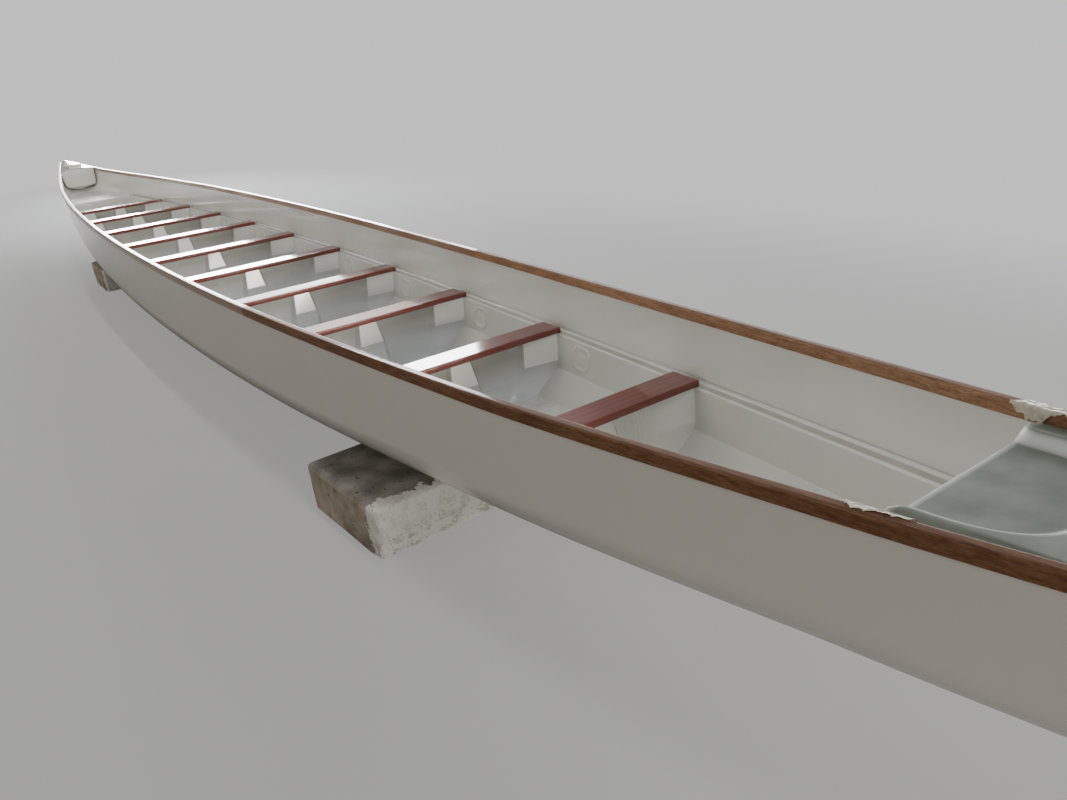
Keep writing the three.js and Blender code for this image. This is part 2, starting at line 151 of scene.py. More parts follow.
def gelcoat(name, clean, dusty, dust_and_shade_share, gloss, settles=(0.2, 1.0), patches=(0.35, 0.75),
            coat=0.4, trends=(), under_gloss=0.5):
    """Dust, and on some finishes a painted shade, lies where the face looks up, between the settles
    values, in noise patches. A trend is an axis, two places on it in mm, and the share of the dust
    and painted shade at each."""
    made, add, place = start(name)
    slow, cloud, peel = (add("TexNoise", [place, 1 / size_mm, detail])
                         for size_mm, detail in ((350, 2.0), (90, 5.0), (6, 3.0)))
    flat = add("MapRange", [upwards(add), *settles, LEAST_DUST, 1.0])
    dust = add("Math", [flat, add("MapRange", [cloud, *patches])], operation="MULTIPLY")
    share = add("Math", [dust, dust_and_shade_share], operation="MULTIPLY")
    where = add("SeparateXYZ", [place])
    for axis, *course in trends:
        local = add("MapRange", [where.outputs[axis], *course])
        share = add("Math", [share, local], operation="MULTIPLY")
    colour = add("Mix", [share, clean, dusty], data_type="RGBA")
    rough = add("MapRange", [share, 0.0, 1.0, gloss, DUST_ROUGHNESS])
    waves = add("Bump", {"Height": slow, "Strength": 0.35, "Distance": 0.004})
    fine = add("Bump", {"Height": peel, "Normal": waves, "Strength": 0.06, "Distance": 0.0004})
    return end(made, add("BsdfPrincipled", {
        "Base Color": colour, "Roughness": rough, "Normal": fine, "IOR": 1.5,
        "Specular IOR Level": under_gloss, "Coat Weight": coat, "Coat Roughness": 0.08}))


GELCOAT_OUT = gelcoat("white gelcoat, outside", "#E9E4DA", "#C6BEB0", 0.25, 0.16)
# Inside, the dust share rises towards the bottom: dust together with a painted shade in the bays.
GELCOAT_IN = gelcoat("white gelcoat, inside", "#E4E5DE", "#918D80", 0.3, 0.17,
                     trends=[("Z", 420, 190, 0.6, 2.4)])
# The side mouldings' gelcoat is drawn darker than the inside's all over, a painted shade.
GELCOAT_SIDE_SHADED = gelcoat("white gelcoat, side mouldings, painted shade", "#D8D8D1", "#A09E93", 0.95, 0.18,
                       (0.95, 0.998), (-0.8, 0.6), 1.0)
# The posts' gelcoat is drawn lighter than the inside's, a painted light.
GELCOAT_PLATE_LIT = gelcoat("white gelcoat, posts, painted light", "#F0F1EB", "#A9A597", 0.2, 0.2)
# The webs are drawn greyer towards the bench above, a painted shade, and bluish white low down, a
# painted reflection.
LAMINATE_SHADE_AND_REFLECTION = gelcoat("laminate, supports, painted shade and reflection", "#E6EAEE", "#A3A399", 0.95, 0.2, (-3.0, -1.0),
                   (-0.4, 0.4), 0.4, [("Z", 225, 330, 0.1, 1.0)])
# The dish's floor is drawn dark grey, dust with a painted shade; it is half as dark on the lip, a
# painted light, and the dust is thin ahead of the dish.
DUSTY_SHADED_DECK = gelcoat("white gelcoat, bow deck, dust and painted shade", "#DFE2D9", "#4C5347", 1.0, 0.3,
                     (0.74, 0.97), (-3.0, 0.9), 0.05,
                     [("X", 4381, 4394, 0.5, 1.0), ("X", 4620, 4780, 1.0, 0.3)], 0.15)
print("finishes:", GELCOAT_OUT.name, GELCOAT_IN.name, LAMINATE_SHADE_AND_REFLECTION.name, DUSTY_SHADED_DECK.name)

# %% [markdown]
# The rails are strips of brown hardwood, sawn, sanded and wiped with oil, so they stay satin and
# their pores stay open. The grain runs along the rail: noise is stretched 160 to 1 that way. Real
# pores are 0.3 mm wide, which no pixel shows, so streaks are drawn about 2 mm wide. Fibres and
# fine dust look pale where the eye grazes the wood, which the shader's sheen gives. The tops are
# drawn darker than the sides, a painted shade. Each length is another strip: the fore ones are
# drier, and the one to port is drawn paler, a painted light. The benches are mahogany under a
# clear varnish that shines like glass.

# %% Oiled hardwood and varnished mahogany
GRAIN_STRETCH, STREAK_MM = 160, 1.6


def wood(name, pale, dark, along, streak_mm, finish):
    """along is the axis that the grain follows; streak_mm is the width of a streak."""
    made, add, place = start(name)
    stretch = [1 / streak_mm] * 3
    stretch[along] /= GRAIN_STRETCH
    drawn = add("Mapping", {"Vector": place, "Scale": stretch})
    figure = add("TexNoise", {"Vector": drawn, "Scale": 0.25, "Detail": 4.0, "Distortion": 0.6})
    pores = add("TexNoise", [drawn, 1.2, 6.0])
    broad = add("TexNoise", [place, 1 / 400, 1.0])
    tone = add("MapRange", [add("Math", [figure, pores], operation="ADD"), 0.75, 1.25])
    grain = add("Mix", [tone, dark, pale], data_type="RGBA")
    shade = add("MapRange", [broad, 0.3, 0.7, 0.85, 1.1])
    lift = upwards(add)
    # Faces that look up are drawn darker, a painted shade.
    faded, top_shade = (add("MapRange", [lift, 0.5, 0.95, 1.0, finish[key]])
                   for key in ("top_saturation", "top_painted_shade"))
    toned = add("HueSaturation", {
        "Color": grain, "Saturation": faded,
        "Value": add("Math", [shade, top_shade], operation="MULTIPLY")})
    bump = add("Bump", {"Height": pores, "Strength": finish["relief"], "Distance": 0.0006})
    return end(made, add("BsdfPrincipled", {
        "Base Color": toned, "Roughness": finish["roughness"], "Normal": bump, "IOR": 1.5,
        "Specular IOR Level": finish["under_gloss"], "Coat Weight": finish["coat"],
        "Coat Roughness": finish["coat_roughness"], "Sheen Weight": finish["sheen"],
        "Sheen Roughness": 0.25, "Sheen Tint": "#F3E8DC"}))


OILED = {"relief": 0.35, "roughness": 0.42, "under_gloss": 0.2, "coat": 0.6,
         "coat_roughness": 0.13, "sheen": 0.9, "top_saturation": 0.85, "top_painted_shade": 0.8}
VARNISHED = {"relief": 0.1, "roughness": 0.5, "under_gloss": 0.1, "coat": 1.0,
             "coat_roughness": 0.075, "sheen": 0.0, "top_saturation": 0.9, "top_painted_shade": 1.0}
DRY = dict(OILED, roughness=0.65, under_gloss=0.03, coat=0.22, coat_roughness=0.09, sheen=0.5,
           top_saturation=0.95, top_painted_shade=0.55)
DRIEST = dict(DRY, coat=0.08, sheen=0.12, top_painted_shade=0.5)
RAIL_WOOD = wood("oiled hardwood", "#9C7049", "#704A2C", 0, STREAK_MM, OILED)
RAIL_WOOD_FORE = wood("oiled hardwood, dry", "#966D50", "#6A4731", 0, STREAK_MM, DRY)
# The port fore rail's wood is drawn paler than the starboard one, a painted light.
RAIL_WOOD_LIT = wood("oiled hardwood, dry, painted light", "#B88F6F", "#83604A", 0, STREAK_MM, DRIEST)
SEAT_WOOD = wood("varnished mahogany", "#884A3D", "#69322A", 1, 2.5, VARNISHED)
print("finishes:", RAIL_WOOD.name, "and", SEAT_WOOD.name)

# %% [markdown]
# The blocks are offcuts of rigid foam. Their skin has gone grey on top and brown at the sides
# with dirt, and where the end towards the bow has broken away the foam is still white. So the
# break is a matter of place: a line across the block, made ragged by chips of about 38 mm. The
# crumbs of 7 mm roughen the fresh foam and hold grime, most of it near the floor.

# %% Weathered foam
CHIP_MM = 38
FOAM_NOISES = ((120, 6.0, 0.5), (CHIP_MM, 5.0, 0.65), (7, 4.0, 0.7), (14, 3.0, 0.5))


def foam(name, broken_from):
    """broken_from is the place along the boat, in mm, where the fresh break begins."""
    made, add, place = start(name)
    cloud, chips, crumbs, specks = (add("TexNoise", [place, 1 / size_mm, detail, harsh])
                                    for size_mm, detail, harsh in FOAM_NOISES)
    where = add("SeparateXYZ", [place])
    ragged = add("MapRange", [chips, 0.25, 0.75, -CHIP_MM, CHIP_MM])
    past = add("Math", [where.outputs["X"], ragged], operation="ADD")
    broken = add("MapRange", [past, broken_from - 3, broken_from + 4])
    looks_up = add("MapRange", [upwards(add), 0.3, 0.8])
    dirty = add("Mix", [looks_up, "#BDB19E", "#96938A"], data_type="RGBA")
    blotch = add("MapRange", [cloud, 0.35, 0.65, 0.5, 1.15])
    stained = add("HueSaturation", {"Color": dirty, "Value": blotch})
    pit = add("MapRange", [specks, 0.66, 0.72])
    pitted = add("Mix", [pit, stained, "#26241F"], data_type="RGBA")
    rough = add("Math", [crumbs, chips], operation="ADD")
    grime = add("MapRange", [rough, 0.98, 1.22, 0.0, 0.85])
    low = add("MapRange", [where.outputs["Z"], 10.0, 90.0, 1.0, 0.35])
    soiled = add("Math", [grime, low], operation="MULTIPLY")
    fresh = add("Mix", [soiled, "#F1F0E6", "#857B69"], data_type="RGBA")
    colour = add("Mix", [broken, pitted, fresh], data_type="RGBA")
    crumbly = add("MapRange", [broken, 0.0, 1.0, 0.25, 1.0])
    bump = add("Bump", {"Height": crumbs, "Strength": crumbly, "Distance": 0.006})
    return end(made, add("BsdfPrincipled", {"Base Color": colour, "Roughness": 0.95,
                                            "Normal": bump, "Specular IOR Level": 0.2}))


FOAM = {"block_fore": foam("weathered rigid foam, fore block", 2952),
        "block_aft": foam("weathered rigid foam, aft block", -1752)}
print("finishes:", [made.name for made in FOAM.values()])

# %% [markdown]
# The hull's form is a table: eleven frames between stern and bow and the two tips, with the half
# breadth, the sheer, the keel's height and the rise of the bottom. A smooth cubic between rows
# gives every section in between, exactly as the boat's lines plan does on a drawing board. These
# are the CAD model's own numbers, in millimetres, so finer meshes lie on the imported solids.

# %% Hull table and lines
HALF_LENGTH, GUNWALE_Z = 6245, 580
WALL, RAIL_WIDTH, RAIL_HEIGHT, RAIL_REVEAL = 8, 25, 31, 7
BILGE_RADIUS, FLARE, NOSE, NOSE_BREADTH = 140, math.radians(4), 70, 0.25
SEAT_WIDTH, SEAT_THICK, SEAT_DROP, SEAT_END_GAP, SEAT_PITCH, SEAT_COUNT = 110, 22, 186, 20, 750, 10
SHELF_WIDTH, PANEL_DROP = 38, 118
PANEL_SLOPE, LOWER_SLOPE = math.radians(11), math.radians(50)
PLAY = 0.4      # left free between pieces that would otherwise share a face
COLUMNS = {"x": 0, "rail": 1, "sheer": 2, "keel": 3, "rise": 4}
STATIONS = [
    (-6245, 30, 92, 526, 25), (-5600, 130, 52, 422, 14), (-5000, 207, 30, 342, 8),
    (-4270, 296, 17, 264, 5), (-3375, 388, 10, 193, 4), (-1800, 495, 2, 117, 3),
    (0, 535, -6, 90, 3), (1800, 488, -5, 117, 3), (3375, 370, 18, 193, 4),
    (4350, 252, 52, 272, 5), (5000, 160, 84, 342, 7), (5600, 86, 125, 422, 12),
    (6245, 14, 180, 526, 25),
]


def column(name, x):
    """One column of the table at x, by a cubic through its rows."""
    j, last = COLUMNS[name], len(STATIONS) - 1
    i = 0
    while i < last - 1 and x > STATIONS[i + 1][0]:
        i += 1

    def slope(k):
        low, high = STATIONS[max(k - 1, 0)], STATIONS[min(k + 1, last)]
        return (high[j] - low[j]) / (high[0] - low[0])

    span = STATIONS[i + 1][0] - STATIONS[i][0]
    t = (x - STATIONS[i][0]) / span
    return ((2 * t**3 - 3 * t**2 + 1) * STATIONS[i][j] + (t**3 - 2 * t**2 + t) * span * slope(i)
            + (3 * t**2 - 2 * t**3) * STATIONS[i + 1][j] + (t**3 - t**2) * span * slope(i + 1))


def rail_inner(x):
    return column("rail", x)


def rail_top(x):
    return GUNWALE_Z + column("sheer", x)


def seat_under(x):
    return rail_top(x) - SEAT_DROP - SEAT_THICK


def nose(x):
    """1 along the hull, falling at the rounded stem and stern post."""
    d = min(max(HALF_LENGTH - abs(x), 0) / NOSE, 1)
    return NOSE_BREADTH + (1 - NOSE_BREADTH) * math.sqrt(1 - (1 - d) ** 2)


print("half breadth amidships:", rail_inner(0), "mm; rail top:", rail_top(0), "mm")

# %% [markdown]
# A section across the hull is a straight side that leans out, a round bilge, and a bottom that
# rises a little from the keel. The function finds the corner where side and bottom would meet and
# lays an arc into it. With an inset it gives the hull's inner face, so that every other piece can
# ask how far the skin is from the middle at any height.

# %% Hull section
BILGE_TURNS, ABOVE_EDGE = 14, 300
TIP_FLARE, LEAST_RADIUS = 0.3, 2


def half_section(x, inset=0.0, lift=0.0):
    """Points (y, z) from the hull's edge down the side, round the bilge and in to the keel."""
    rise = math.radians(column("rise", x))
    edge = rail_top(x) - RAIL_HEIGHT - PLAY
    full = (rail_inner(x) + RAIL_WIDTH - RAIL_REVEAL) * nose(x)
    depth = edge - column("keel", x)
    flare = min(FLARE, math.atan(TIP_FLARE * full / depth))
    breadth = full - inset / math.cos(flare)
    keel = column("keel", x) + (1 - nose(x)) * NOSE + inset / math.cos(rise)
    radius = max(min(BILGE_RADIUS, full / 2, depth / 2) - inset, LEAST_RADIUS)
    slopes = 1 - math.tan(rise) * math.tan(flare)
    corner_y = (breadth - (edge - keel) * math.tan(flare)) / slopes
    corner = Vector((corner_y, keel + corner_y * math.tan(rise)))
    side = Vector((math.sin(flare), math.cos(flare)))
    inwards = Vector((-math.cos(rise), -math.sin(rise)))
    half = math.acos(side.dot(inwards)) / 2
    centre = corner + (side + inwards).normalized() * (radius / math.sin(half))
    points = [(breadth + lift * math.tan(flare), edge + lift)]
    for k in range(BILGE_TURNS + 1):
        angle = -flare + (rise - math.pi / 2 + flare) * k / BILGE_TURNS
        points.append((centre.x + radius * math.cos(angle), centre.y + radius * math.sin(angle)))
    return points + [(0.0, keel)]


def skin(x, z, inset=WALL):
    """Half breadth of the hull's inner face at height z, with the side carried on upwards."""
    points = half_section(x, inset, ABOVE_EDGE)
    for (y0, z0), (y1, z1) in zip(points, points[1:]):
        if z1 <= z <= z0:
            return y1 + (y0 - y1) * (z - z1) / max(z0 - z1, 1e-9)
    return 0.0


print("inner half breadth at the bench, amidships:", round(skin(0, seat_under(0)), 1), "mm")

# %% [markdown]
# Every piece is a mesh made from a list of points in millimetres and a list of faces. One helper
# turns them into an object in metres, points its faces outwards, marks sharp edges by angle so
# that curved faces shade smoothly, and hides the CAD nodes that the piece stands for.

# %% Piece helper
SMOOTH_BELOW = math.radians(32)


def piece(name, points, faces, materials, slot, stands_for=(), face_materials=None):
    mesh = bpy.data.meshes.new(name)
    mesh.from_pydata([(x / 1000, y / 1000, z / 1000) for x, y, z in points], [], faces)
    for made in materials if isinstance(materials, list) else [materials]:
        mesh.materials.append(made)
    if face_materials:
        for face, index in zip(mesh.polygons, face_materials):
            face.material_index = index
    work = bmesh.new()
    work.from_mesh(mesh)
    bmesh.ops.recalc_face_normals(work, faces=work.faces)
    work.to_mesh(mesh)
    work.free()
    mesh.polygons.foreach_set("use_smooth", [True] * len(mesh.polygons))
    mesh.set_sharp_from_angle(angle=SMOOTH_BELOW)
    obj = placed(name, mesh)
    flatter = obj.modifiers.new("flat faces stay flat", "WEIGHTED_NORMAL")
    flatter.keep_sharp, flatter.weight = True, 100
    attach(obj, "root")
    if stands_for:
        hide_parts(*stands_for)
    return obj


def tube(rings):
    """Points and faces through rings of equal length, closed round and at both ends."""
    count, last = len(rings[0]), (len(rings) - 1) * len(rings[0])
    faces = [(a + k, a + (k + 1) % count, a + count + (k + 1) % count, a + count + k)
             for a in range(0, last, count) for k in range(count)]
    faces += [tuple(range(count)), tuple(range(last, last + count))]
    return [p for ring in rings for p in ring], faces


def grid(rows, width, first=0):
    """Faces of a sheet of rows by width points, numbered from first on."""
    return [(a, a + 1, a + width + 1, a + width) for r in range(rows - 1)
            for a in range(first + r * width, first + (r + 1) * width - 1)]


def slab(rows, width, first=0):
    """Faces of two such sheets, one after the other, joined all round their edges."""
    back, starts = rows * width, [first + r * width for r in range(rows)]
    edges = [(a, a + 1) for start_at in (starts[0], starts[-1])
             for a in range(start_at, start_at + width - 1)]
    edges += [(a + k, a + k + width) for k in (0, width - 1) for a in starts[:-1]]
    return (grid(rows, width, first) + grid(rows, width, first + back)
            + [(a, b, back + b, back + a) for a, b in edges])


def spread(low, high, step, extra=()):
    """Places from low to high about step apart, with both ends and any extra ones."""
    count = max(int(round((high - low) / step)), 1)
    places = {round(low + (high - low) * i / count, 3) for i in range(count + 1)}
    return sorted(places | {e for e in extra if low < e < high})


def triangles(obj):
    obj.data.calc_loop_triangles()
    return len(obj.data.loop_triangles)


print("helpers ready; nodes in the frame:", len(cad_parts))

# %% [markdown]
# The hull is one closed skin 8 mm thick: an outer face, an inner face a wall's thickness inside
# it, the edge between them that the rails cap, and solid stem and stern posts. A new station
# every 50 mm keeps the long curves fair, where the CAD model has one every 250 mm.

# %% Hull
HULL_NODES = [f"hull_{side}_{part}" for side in ("port", "starboard")
              for part in ("stern", "aft", "mid_aft", "mid_fore", "fore", "bow")]
TIP_GAP, RAIL_REACH = 0.3, 559.9      # the dressed boat ends just inside the CAD box
STATION_STEP, TIP_STEPS = 50, (3, 8, 15, 25, 38, 52, NOSE)


def across(x, inset):
    half = half_section(x, inset)
    return [(x, y, z) for y, z in half] + [(x, -y, z) for y, z in half[-2::-1]]


def hull():
    end_x = HALF_LENGTH - TIP_GAP
    near_tips = [s * (HALF_LENGTH - d) for s in (-1, 1) for d in TIP_STEPS]
    xs = spread(-end_x, end_x, STATION_STEP, near_tips)
    inner_xs = [x for x in xs if abs(x) <= HALF_LENGTH - NOSE]
    outer, inner = [across(x, 0) for x in xs], [across(x, WALL) for x in inner_xs]
    count, first, final = len(outer[0]), xs.index(inner_xs[0]), len(inner) - 1
    base, last = len(outer) * count, count - 1
    faces = grid(len(outer), count) + grid(len(inner), count, base)
    for i in range(len(xs) - 1):
        a, b, p = i * count, (i + 1) * count, base + (i - first) * count
        if first <= i < first + final:
            faces += [(a, b, p + count, p), (a + last, b + last, p + count + last, p + last)]
        elif i == first - 1:
            faces.append((a, b, base, base + last, b + last, a + last))
        elif i == first + final:
            faces.append((b, a, p, p + last, a + last, b + last))
        else:
            faces.append((a, b, b + last, a + last))
    faces += [tuple(range(a, a + count)) for a in (0, base - count, base, base + final * count)]
    inside = [int(min(face) >= base) for face in faces]
    points = [p for ring in outer + inner for p in ring]
    return piece("hull", points, faces, [GELCOAT_OUT, GELCOAT_IN], "gelcoat", HULL_NODES, inside)


hull_skin = hull()
print("hull:", triangles(hull_skin), "triangles")

# %% [markdown]
# Along each side runs one long moulding: a narrow shelf that the benches rest on, a steep panel
# under it, a crease, and a shallower panel down to the bottom. On the real boat all its edges
# are rounded, and those rounds catch the light as bright lines. So the outline is drawn with arcs
# at shelf and crease, and then carried along the hull. Towards the ends, where the hull narrows,
# it walks down to the place where it meets the skin, and the lower panel runs out.

# %% Side mouldings
SHELF_ROUND, CREASE_ROUND, FILLET, SKIN_POINTS = 8.0, 7.0, 11.0, 12
NOTCH, CREASE_ROOM = 1, 6       # depth of the benches' notches; least height of the lower panel
PLATFORM_X, BOW_BULKHEAD_X = -4270, 4750
SIDES = {"port": 1, "starboard": -1}


def rounded(path, radii, turns=5):
    """A polyline (y, z) with each inner corner replaced by an arc of the given radius."""
    out = [path[0]]
    for i in range(1, len(path) - 1):
        before, corner, after = (Vector(path[i + d]) for d in (-1, 0, 1))
        a, b = (before - corner).normalized(), (after - corner).normalized()
        half = a.angle(b) / 2
        cut = radii[i] / math.tan(half)
        centre = corner + (a + b).normalized() * (radii[i] / math.sin(half))
        first, final = corner + a * cut - centre, corner + b * cut - centre
        swing = first.angle_signed(final)
        for k in range(turns + 1):
            arm = Matrix.Rotation(-swing * k / turns, 2) @ first
            out.append(tuple(centre + arm))
    return out + [path[-1]]


def shelf_edge(x):
    return rail_inner(x) - SHELF_WIDTH


def panel_y(x, z):
    """Half breadth to the face of the side moulding at height z."""
    drop = max(seat_under(x) + NOTCH - z, 0)
    lower = max(drop - PANEL_DROP, 0)
    return shelf_edge(x) - (drop - lower) * math.tan(PANEL_SLOPE) - lower * math.tan(LOWER_SLOPE)


def side_outline(x):
    top = seat_under(x) + NOTCH
    foot = top
    while foot > column("keel", x) and panel_y(x, foot) < skin(x, foot) - PLAY:
        foot -= 2
    crease = max(top - PANEL_DROP, foot + CREASE_ROOM)
    path = [(skin(x, top + FILLET) - PLAY, top + FILLET), (skin(x, top) - PLAY, top),
            (shelf_edge(x), top), (panel_y(x, crease), crease), (panel_y(x, foot), foot)]
    behind = (foot + (top - foot) * k / SKIN_POINTS for k in range(1, SKIN_POINTS))
    return (rounded(path, [0, FILLET - 1, SHELF_ROUND, CREASE_ROUND, 0])
            + [(skin(x, z) - PLAY, z) for z in behind])


def side_moulding(name, side):
    rings = [[(x, side * y, z) for y, z in side_outline(x)]
             for x in spread(PLATFORM_X + PLAY, BOW_BULKHEAD_X - PLAY, STATION_STEP)]
    stands_for = [f"side_tank_{name}_{part}" for part in ("aft", "mid_aft", "mid_fore", "fore")]
    return piece(f"side_moulding_{name}", *tube(rings), GELCOAT_SIDE_SHADED, "gelcoat", stands_for)


for side_name, side in SIDES.items():
    made = side_moulding(side_name, side)
    print(made.name, triangles(made), "triangles")

# %% [markdown]
# The rails are sprung round the hull in three lengths a side, butted end to end with a hairline
# that collects dirt. They stand a little proud of the hull outside and inside. Their corners are
# eased with a router, so each rail is a small outline with rounded corners carried along.

# %% Rails
RAIL_ENDS = {"fore": (2015, HALF_LENGTH - 45), "mid": (-2185, 2015),
             "aft": (-HALF_LENGTH + 45, -2185)}
# The port fore length takes the paler wood, a painted light.
RAIL_FINISHES = {("port", "fore"): RAIL_WOOD_LIT, ("starboard", "fore"): RAIL_WOOD_FORE}
JOINT_GAP, TOP_ROUND, FOOT_ROUND = 0.9, 5.5, 2.0
END_EASE, EASE_CUT = 1.2, 0.6


def box_outline(y0, y1, z0, z1, top_round, foot_round, turns=4):
    """A rectangle (y, z) with rounded corners."""
    points = []
    corners = ((y1, z1, top_round, 0), (y0, z1, top_round, 90),
               (y0, z0, foot_round, 180), (y1, z0, foot_round, 270))
    for y, z, r, begin in corners:
        cy = y - r if y == y1 else y + r
        cz = z - r if z == z1 else z + r
        for k in range(turns + 1):
            angle = math.radians(begin + 90 * k / turns)
            points.append((cy + r * math.cos(angle), cz + r * math.sin(angle)))
    return points


def rail(side_name, part, low, high):
    side, rings = SIDES[side_name], []
    low, high = low + JOINT_GAP / 2, high - JOINT_GAP / 2
    eased = [x for d in (END_EASE / 3, END_EASE) for x in (low + d, high - d)]
    for x in spread(low, high, STATION_STEP, eased):
        shrink = max(0.0, END_EASE - min(x - low, high - x)) * EASE_CUT
        y0 = rail_inner(x)
        outline = box_outline(y0 + shrink, min(y0 + RAIL_WIDTH, RAIL_REACH) - shrink,
                              rail_top(x) - RAIL_HEIGHT + shrink, rail_top(x) - shrink,
                              TOP_ROUND, FOOT_ROUND)
        rings.append([(x, side * y, z) for y, z in outline])
    name = f"rail_{side_name}_{part}"
    finish = RAIL_FINISHES.get((side_name, part), RAIL_WOOD)
    return piece(name + "_wood", *tube(rings), finish, "rail_wood", [name])


for side_name in SIDES:
    for part, (low, high) in RAIL_ENDS.items():
        made = rail(side_name, part, low, high)
print("rails: 6 lengths,", triangles(made), "triangles in the last")

# %% [markdown]
# Each bench is a plank 110 mm wide and 22 mm thick across the hull, its ends resting on the
# shelves. Long edges and ends are rounded over, which is what makes varnished planks show a thin
# bright line all round. The plank is a rounded outline, carried across and drawn in at its ends.

# %% Benches
SEAT_ROUND, LEAST_ROUND = 7.0, 0.6
END_THIN, END_SHARPEN = 0.8, 0.9       # how fast a plank's end loses thickness and rounding


def seat_x(i):
    return ((SEAT_COUNT - 1) / 2 - i) * SEAT_PITCH


def bench(i):
    x, r = seat_x(i), SEAT_ROUND
    half = min(rail_inner(x - SEAT_WIDTH / 2), rail_inner(x + SEAT_WIDTH / 2)) - SEAT_END_GAP
    top = rail_top(x) - SEAT_DROP
    ends = [(half - r + r * math.sin(a), r * (1 - math.cos(a)))
            for a in (math.radians(15 * k) for k in range(0, 7))]
    stations = [(-y, d) for y, d in reversed(ends)] + ends
    rings = []
    for y, draw in stations:
        corner = max(r - draw * END_SHARPEN, LEAST_ROUND)
        outline = box_outline(-SEAT_WIDTH / 2 + draw, SEAT_WIDTH / 2 - draw,
                              top - SEAT_THICK + draw * END_THIN, top - draw * END_THIN,
                              corner, corner)
        rings.append([(x + px, y, pz) for px, pz in outline])
    name = f"seat_{i + 1:02d}"
    return piece(name + "_plank", *tube(rings), SEAT_WOOD, "seat_wood", [name])


for i in range(SEAT_COUNT):
    made = bench(i)
print("benches:", SEAT_COUNT, "planks of", triangles(made), "triangles")

# %% [markdown]
# Under every bench is a moulded support across the hull: a post in the middle, a pedestal at each
# side, and hollow webs between, all in one skin. The faces lean out for the first 92 mm and then
# turn upright, and slanted cheeks lead from them back to the webs. Each row of the mesh is that
# outline seen from above at one height, so the moulding's edges run along rows of points. At the
# foot it swells, as the resin fillet there does. Posts and pedestals are drawn in a lighter white
# down to the brow, a painted light, and the rest in laminate drawn darker, a painted shade; the
# foremost support is in the lighter white all over, with fine ribs.

# %% Bench supports
LEVELS = {"post": (35, 50, 58), "pedestal": (135, 153, 170), "cheek": (14, 17, 30),
          "depth": (28, 48, 42)}
BROW_DROP, WEB_EDGE, WEB_MIDDLE, WEB_PARTS = 92, 20, 10, 14
RIB_PITCH, RIB_HEIGHT, RIBBED_PARTS = 11.0, 2.4, 96
FOOT_FILLET, FOOT_SWELL, INTO_SIDE = 50, 24, 3
ROW_STEP = 9


def level_value(name, drop, total):
    """A support's measure at a drop below the bench: top to brow, then brow to foot."""
    top, brow, foot = LEVELS[name]
    if drop < BROW_DROP:
        return top + (brow - top) * drop / BROW_DROP
    return brow + (foot - brow) * min((drop - BROW_DROP) / max(total - BROW_DROP, 1), 1)


def smooth(t):
    t = min(max(t, 0.0), 1.0)
    return t * t * (3 - 2 * t)


def half_plan(drop, total, ledge, parts=WEB_PARTS):
    """Half of a support's outline from above, (y, depth), from the middle to the panel."""
    post, pedestal, cheek, deep = (level_value(n, drop, total) for n in LEVELS)
    inner, outer = post + cheek, ledge - pedestal - cheek
    web = [(inner + (outer - inner) * k / parts,
            WEB_MIDDLE + (WEB_EDGE - WEB_MIDDLE) * (2 * k / parts - 1) ** 2)
           for k in range(1, parts)]
    path = [(0, deep), (post, deep), (inner, WEB_EDGE), *web, (outer, WEB_EDGE),
            (outer + cheek, deep), (ledge + 60, deep)]
    radii = [0, 4, 5, *[0] * len(web), 5, 4, 0]
    return path, radii


def plan_points(path, radii):
    """The outline with its four corners rounded, always the same number of points."""
    out = [path[0]]
    for i in range(1, len(path) - 1):
        out += rounded(path[i - 1:i + 2], [0, radii[i], 0], 3)[1:-1] if radii[i] else [path[i]]
    return out + [path[-1]]


def support(i):
    x, rows = seat_x(i), []
    top, ledge = seat_under(x) - PLAY, shelf_edge(x)
    total = top - column("keel", x) - WALL
    floor_y, floor_z = zip(*half_section(x, WALL)[::-1])
    for drop in spread(0, total - 1, ROW_STEP, [BROW_DROP - 3, BROW_DROP + 3]):
        z, row = top - drop, []
        reach = min(panel_y(x, z), skin(x, z))
        plan = half_plan(drop, total, ledge, RIBBED_PARTS if i == 0 else WEB_PARTS)
        for k, (y, depth) in enumerate(plan_points(*plan)):
            over = z - np.interp(y, floor_y, floor_z)
            near = max(1 - max(min(over, reach - y), 0) / FOOT_FILLET, 0)
            if i == 0 and WEB_EDGE + 1 > depth:
                depth += RIB_HEIGHT * (0.5 + 0.5 * math.sin(2 * math.pi * y / RIB_PITCH))
            row.append((min(y, reach + INTO_SIDE + 0.01 * k), z, depth + FOOT_SWELL * near * near))
        rows.append([(-y, z, d) for y, z, d in row[:0:-1]] + row)
    points = [(x + way * d, y, z) for way in (1, -1) for row in rows for y, z, d in row]
    faces, finishes = slab(len(rows), len(rows[0])), []
    for face in faces:
        y, z = (sum(abs(points[k][axis]) for k in face) / len(face) for axis in (1, 2))
        # Faces of posts and pedestals above the brow take the lighter gelcoat, a painted light; the
        # rest takes the darker laminate, a painted shade.
        post, pedestal = (level_value(name, top - z, total) for name in ("post", "pedestal"))
        plate = y < post + 1 or y > ledge - pedestal - 1
        finishes.append(0 if i == 0 or plate and top - z < BROW_DROP else 1)
    name = f"seat_frame_{i + 1:02d}"
    return piece(name + "_moulding", points, faces, [GELCOAT_PLATE_LIT, LAMINATE_SHADE_AND_REFLECTION], "gelcoat",
                 [name], finishes)


for i in range(SEAT_COUNT):
    made = support(i)
print("supports:", SEAT_COUNT, "mouldings of about", triangles(made), "triangles")

# %% [markdown]
# On the steep panel of every bay is a small raised square with a rounded rim and cut corners,
# about 112 by 84 mm, left by a plate in the mould. It is a frame and a sunk middle, pressed as a
# height field on the panel's own plane, so it follows the hull's taper.

